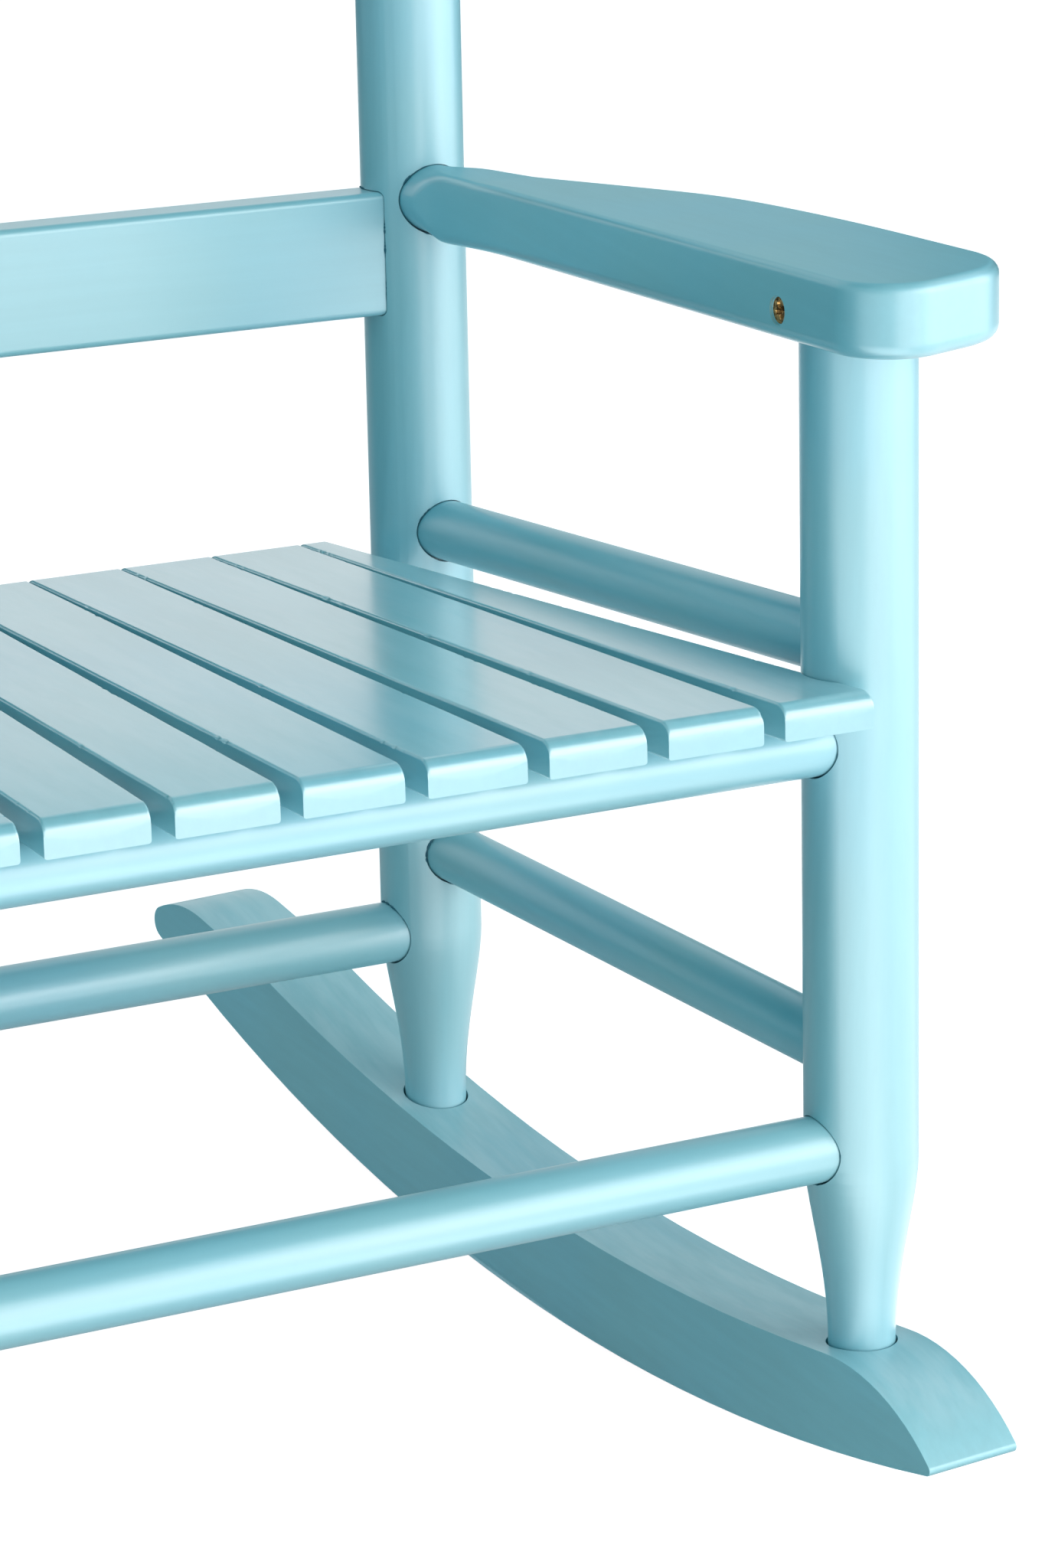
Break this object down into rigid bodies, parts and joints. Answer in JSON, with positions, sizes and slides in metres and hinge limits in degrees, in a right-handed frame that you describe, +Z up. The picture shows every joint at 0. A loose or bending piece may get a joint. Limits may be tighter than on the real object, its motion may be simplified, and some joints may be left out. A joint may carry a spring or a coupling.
{
  "type": "child's rocking chair",
  "caption": "Small wooden rocking chair with round posts, a ladder back, a fanned slat seat, paddle-shaped arms and curved runners.",
  "frame": {"origin": "centre of the bounding box's base, on the floor between the runners", "axes": "+Z up, +X to the right of a viewer who stands in front of the chair and looks at the seat's front, +Y from the seat's front towards its back; the chair stands at rest, leaning back"},
  "size_m": [0.4688, 0.5038, 0.7171],
  "materials": {
    "painted_wood": "satin light-aqua paint on turned and sawn hardwood",
    "brass_screw": "dulled brass-coloured wood screw",
    "steel_screw": "zinc-plated wood screw"
  },
  "bodies": {
    "root": {"front_post_left": "painted_wood", "front_post_right": "painted_wood", "rear_post_left": "painted_wood", "rear_post_right": "painted_wood", "runner_left": "painted_wood", "runner_right": "painted_wood", "arm_left": "painted_wood", "arm_right": "painted_wood", "seat_front_rail": "painted_wood", "seat_rear_rail": "painted_wood", "front_stretcher": "painted_wood", "rear_stretcher": "painted_wood", "upper_side_rail_left": "painted_wood", "upper_side_rail_right": "painted_wood", "lower_side_rail_left": "painted_wood", "lower_side_rail_right": "painted_wood", "seat_slat_1": "painted_wood", "seat_slat_2": "painted_wood", "seat_slat_3": "painted_wood", "seat_slat_4": "painted_wood", "seat_slat_5": "painted_wood", "seat_slat_6": "painted_wood", "seat_slat_7": "painted_wood", "seat_slat_8": "painted_wood", "seat_slat_9": "painted_wood", "back_rail_lower": "painted_wood", "back_rail_middle": "painted_wood", "back_rail_top": "painted_wood", "arm_screws": "brass_screw", "seat_screws_front": "steel_screw", "seat_screws_rear": "steel_screw", "runner_screws": "steel_screw"}
  },
  "joints": []
}
